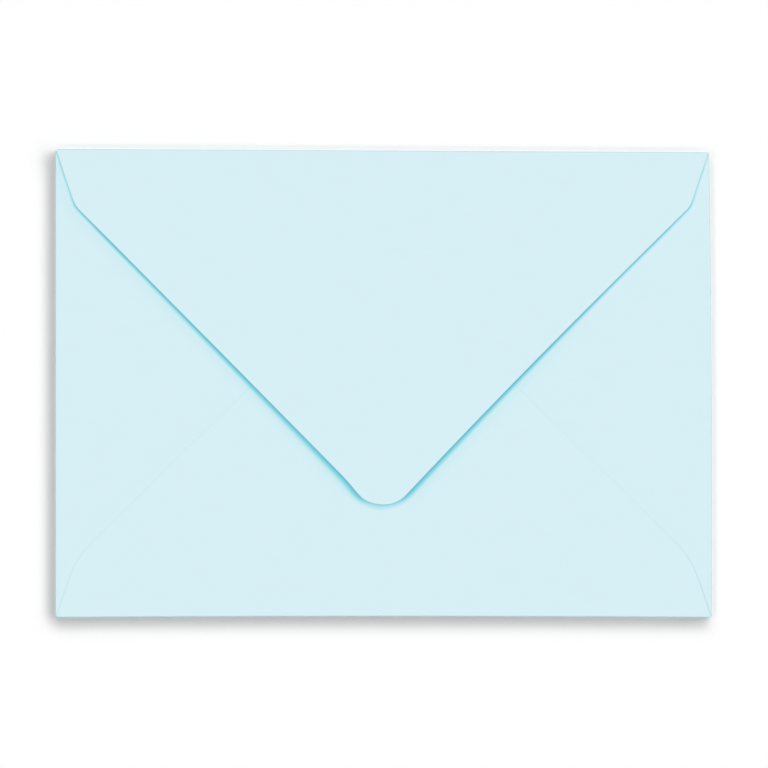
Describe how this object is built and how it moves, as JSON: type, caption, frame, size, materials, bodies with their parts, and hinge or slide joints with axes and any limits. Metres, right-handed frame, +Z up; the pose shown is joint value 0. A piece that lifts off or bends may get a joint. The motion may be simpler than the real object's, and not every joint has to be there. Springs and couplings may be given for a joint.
{
  "type": "paper envelope",
  "caption": "Closed pale blue paper envelope lying face down: a folded rectangular pocket with side flaps, a glued bottom flap and a deep V-shaped closing flap with a rounded tip.",
  "frame": {"origin": "on the table under the middle of the closed envelope, which lies on its address side", "axes": "+X along the long side, +Y towards the closing flap's crease, +Z up, out of the flap side"},
  "size_m": [0.176, 0.125, 0.0019],
  "materials": {
    "paper": "uncoated matte paper, pale blue right through, a deeper blue-green at its cut edges"
  },
  "bodies": {
    "root": {"envelope_sheet": "paper"}
  },
  "joints": []
}
